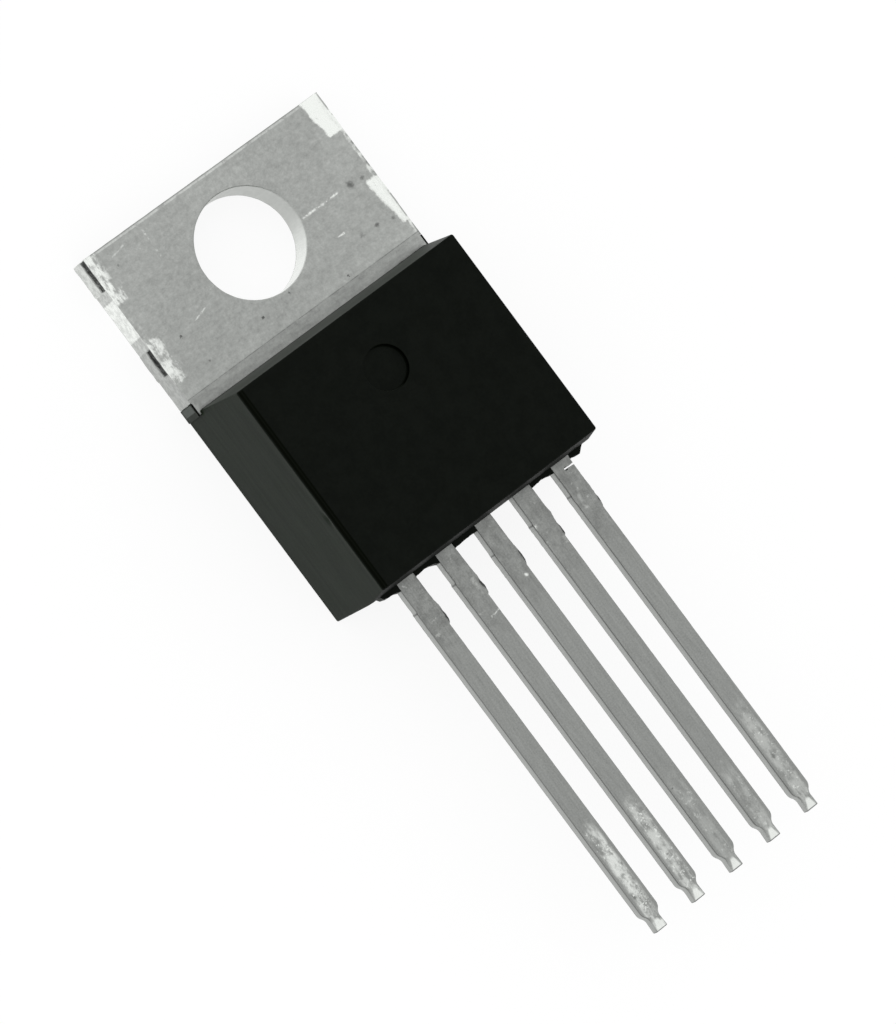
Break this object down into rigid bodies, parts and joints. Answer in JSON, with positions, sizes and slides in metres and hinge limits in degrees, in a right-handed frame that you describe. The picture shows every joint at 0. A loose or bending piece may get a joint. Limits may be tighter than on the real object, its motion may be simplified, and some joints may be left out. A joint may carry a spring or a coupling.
{
  "type": "n-channel mosfet",
  "caption": "Power transistor with a metal tab and screw hole, a black moulded body and a row of straight flat leads.",
  "frame": {"origin": "centre of the screw hole, on the metal back plane", "axes": "+X across the tab towards the source lead, +Y from the lead tips to the tab's top edge, +Z out of the moulded front face"},
  "size_m": [0.0102, 0.029, 0.0045],
  "materials": {
    "mould_resin": "fine matte, moulded",
    "plated_copper": "dull plating, with burnished patches",
    "silicon": "polished",
    "solder": "dull",
    "bond_wire": "drawn"
  },
  "bodies": {
    "root": {"mould_body": "mould_resin", "drain_frame": "plated_copper", "gate_lead": "plated_copper", "sense_lead": "plated_copper", "kelvin_lead": "plated_copper", "source_lead": "plated_copper", "die": "silicon", "die_solder": "solder", "gate_wire": "bond_wire", "sense_wire": "bond_wire", "kelvin_wire": "bond_wire", "source_wire_1": "bond_wire", "source_wire_2": "bond_wire"}
  },
  "joints": []
}
